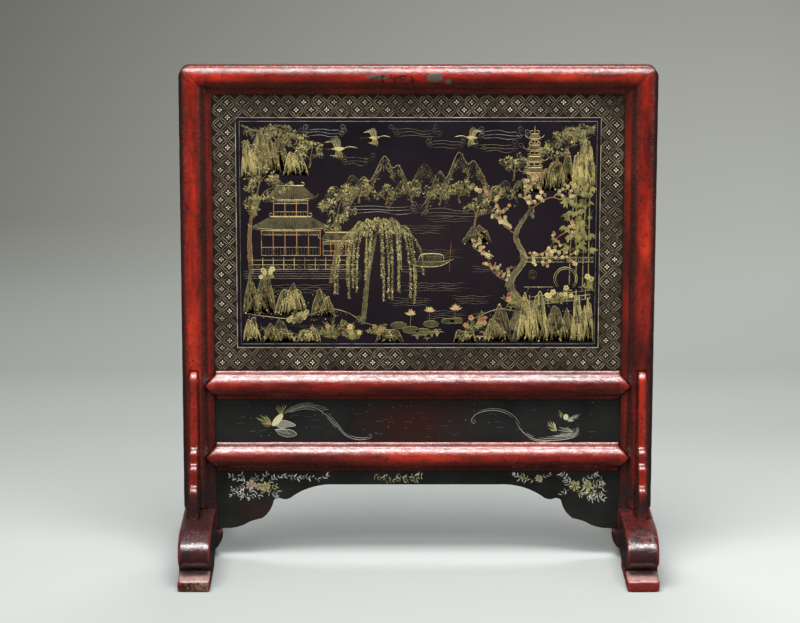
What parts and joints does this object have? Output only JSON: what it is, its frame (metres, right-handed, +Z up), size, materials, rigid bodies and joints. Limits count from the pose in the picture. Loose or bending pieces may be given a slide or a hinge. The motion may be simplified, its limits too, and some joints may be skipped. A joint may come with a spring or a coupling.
{
  "type": "table screen",
  "caption": "Free-standing lacquered table screen: a picture panel, waist panel and waved apron in a moulded frame on shoe feet with standing spandrels.",
  "frame": {"origin": "on the floor under the middle of the screen", "axes": "+X along the screen to the viewer's right, +Y from the painted front to the back, +Z up"},
  "size_m": [0.5, 0.258, 0.532],
  "materials": {
    "red_lacquer": "worn cinnabar-red lacquer over a dark ground, semi-gloss",
    "black_lacquer": "black lacquer, satin",
    "bare_wood": "bare planed wood",
    "gold_paint": "thin rubbed gold painting on lacquer",
    "pearl_inlay": "polished shell inlay"
  },
  "bodies": {
    "root": {"left_post": "red_lacquer", "right_post": "red_lacquer", "top_rail": "red_lacquer", "upper_rail": "red_lacquer", "lower_rail": "red_lacquer", "main_panel": "black_lacquer", "waist_panel": "black_lacquer", "apron": "black_lacquer", "left_foot": "red_lacquer", "right_foot": "red_lacquer", "front_left_spandrel": "red_lacquer", "front_right_spandrel": "red_lacquer", "back_left_spandrel": "red_lacquer", "back_right_spandrel": "red_lacquer", "spandrel_tenons": "bare_wood", "foot_wedges": "bare_wood"}
  },
  "joints": []
}
